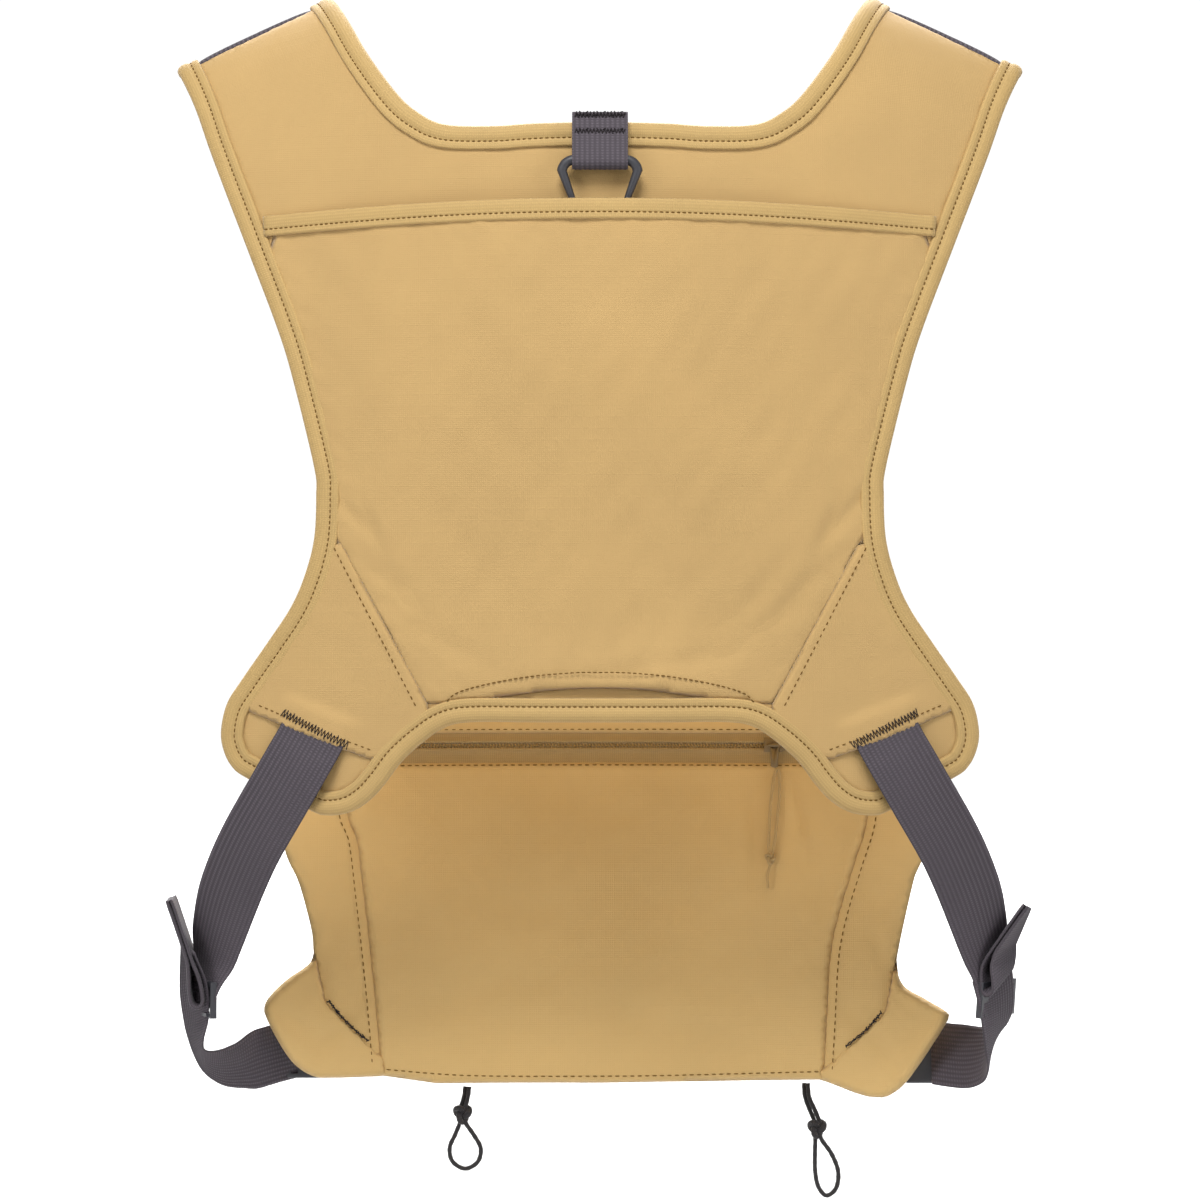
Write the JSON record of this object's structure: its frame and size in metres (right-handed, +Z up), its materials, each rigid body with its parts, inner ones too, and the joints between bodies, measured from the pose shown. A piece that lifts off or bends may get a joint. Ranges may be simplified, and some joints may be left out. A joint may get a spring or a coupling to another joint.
{
  "type": "fishing vest",
  "caption": "Harness-style fishing vest: padded back yoke with stash pocket and net ring, shoulder straps, side webbing and a zipped chest pack.",
  "frame": {"origin": "midway between the two shoulder crests, where the vest hangs on its wearer", "axes": "+Z up, -Y behind the wearer's back, +X to the wearer's right"},
  "size_m": [0.4151, 0.26, 0.5723],
  "materials": {
    "tan_fabric": "matt woven nylon",
    "pack_fabric": "matt woven nylon",
    "binding_tape": "folded woven edge tape",
    "mesh_lining": "spacer mesh",
    "charcoal_webbing": "ribbed polyester webbing",
    "black_plastic": "moulded acetal",
    "black_cord": "braided elastic cord",
    "tan_cord": "braided cord",
    "zip_coil": "nylon coil",
    "slider_metal": "die-cast and painted"
  },
  "bodies": {
    "vest": {"yoke_panel": "tan_fabric", "stash_pocket_panel": "tan_fabric", "wing_panel_left": "tan_fabric", "wing_panel_right": "tan_fabric", "yoke_lining": "mesh_lining", "pack_back_panel": "pack_fabric", "pack_top_panel": "pack_fabric", "pack_side_left": "pack_fabric", "pack_side_right": "pack_fabric", "hip_wing_left": "pack_fabric", "hip_wing_right": "pack_fabric", "pack_body": "pack_fabric", "front_pocket": "pack_fabric", "back_zip_tape": "pack_fabric", "neck_binding": "binding_tape", "edge_binding": "binding_tape", "pocket_band": "binding_tape", "strap_binding_inner_left": "binding_tape", "strap_binding_inner_right": "binding_tape", "strap_binding_outer_left": "binding_tape", "strap_binding_outer_right": "binding_tape", "ring_loop": "charcoal_webbing", "strap_pad_left": "charcoal_webbing", "strap_pad_right": "charcoal_webbing", "shoulder_webbing_left": "charcoal_webbing", "shoulder_webbing_right": "charcoal_webbing", "side_webbing_upper_left": "charcoal_webbing", "side_webbing_upper_right": "charcoal_webbing", "side_webbing_lower_left": "charcoal_webbing", "side_webbing_lower_right": "charcoal_webbing", "webbing_tail_left": "charcoal_webbing", "webbing_tail_right": "charcoal_webbing", "shoulder_ladder_lock_left": "black_plastic", "shoulder_ladder_lock_right": "black_plastic", "side_ladder_lock_left": "black_plastic", "side_ladder_lock_right": "black_plastic", "buckle_socket_left": "black_plastic", "buckle_socket_right": "black_plastic", "buckle_plug_left": "black_plastic", "buckle_plug_right": "black_plastic", "back_zip_coil": "zip_coil", "main_zip_coil": "zip_coil", "front_zip_coil": "zip_coil"},
    "net_ring": {"net_ring": "black_plastic"},
    "back_slider": {"back_zip_slider": "slider_metal"},
    "back_pull": {"back_zip_pull": "slider_metal", "back_pull_strand_a": "tan_cord", "back_pull_strand_b": "tan_cord", "back_pull_tail": "tan_cord", "back_pull_knot": "tan_cord"},
    "main_slider": {"main_zip_slider": "slider_metal"},
    "main_pull": {"main_zip_pull": "tan_cord"},
    "front_slider": {"front_zip_slider": "slider_metal"},
    "front_pull": {"front_zip_pull": "tan_cord"},
    "cord_left": {"cord_loop_left": "black_cord", "cord_knot_left": "black_cord"},
    "cord_right": {"cord_loop_right": "black_cord", "cord_knot_right": "black_cord"}
  },
  "joints": [
    {"name": "net_ring_swing", "type": "hinge", "parent": "vest", "child": "net_ring", "pos_m": [0, -0.09055, -0.0527], "axis": [1, 0, 0], "range_deg": [-5.5, 3.5]},
    {"name": "back_zip_slide", "type": "hinge", "parent": "vest", "child": "back_slider", "pos_m": [0, -0.285, -0.322], "axis": [0, 0, 1], "range_deg": [0, 28.4]},
    {"name": "back_pull_swing", "type": "hinge", "parent": "back_slider", "child": "back_pull", "pos_m": [0.08397, 0.05627, -0.322], "axis": [-0.971, 0.2389, 0], "range_deg": [0, 120]},
    {"name": "main_zip_slide", "type": "hinge", "parent": "vest", "child": "main_slider", "pos_m": [0, -0.285, -0.3], "axis": [0, 0, 1], "range_deg": [0, 26.6]},
    {"name": "main_pull_swing", "type": "hinge", "parent": "main_slider", "child": "main_pull", "pos_m": [0.09756, 0.12839, -0.3], "axis": [0.9733, -0.2297, 0], "range_deg": [0, 120]},
    {"name": "front_zip_slide", "type": "hinge", "parent": "vest", "child": "front_slider", "pos_m": [0, -0.285, -0.368], "axis": [0, 0, 1], "range_deg": [0, 20.3]},
    {"name": "front_pull_swing", "type": "hinge", "parent": "front_slider", "child": "front_pull", "pos_m": [0.07745, 0.15417, -0.368], "axis": [0.9848, -0.1737, 0], "range_deg": [0, 120]},
    {"name": "cord_left_swing", "type": "hinge", "parent": "vest", "child": "cord_left", "pos_m": [-0.0644, 0.076, -0.4882], "axis": [1, 0, 0], "range_deg": [-60, 60]},
    {"name": "cord_right_swing", "type": "hinge", "parent": "vest", "child": "cord_right", "pos_m": [0.0997, 0.076, -0.4865], "axis": [1, 0, 0], "range_deg": [-60, 60]}
  ]
}
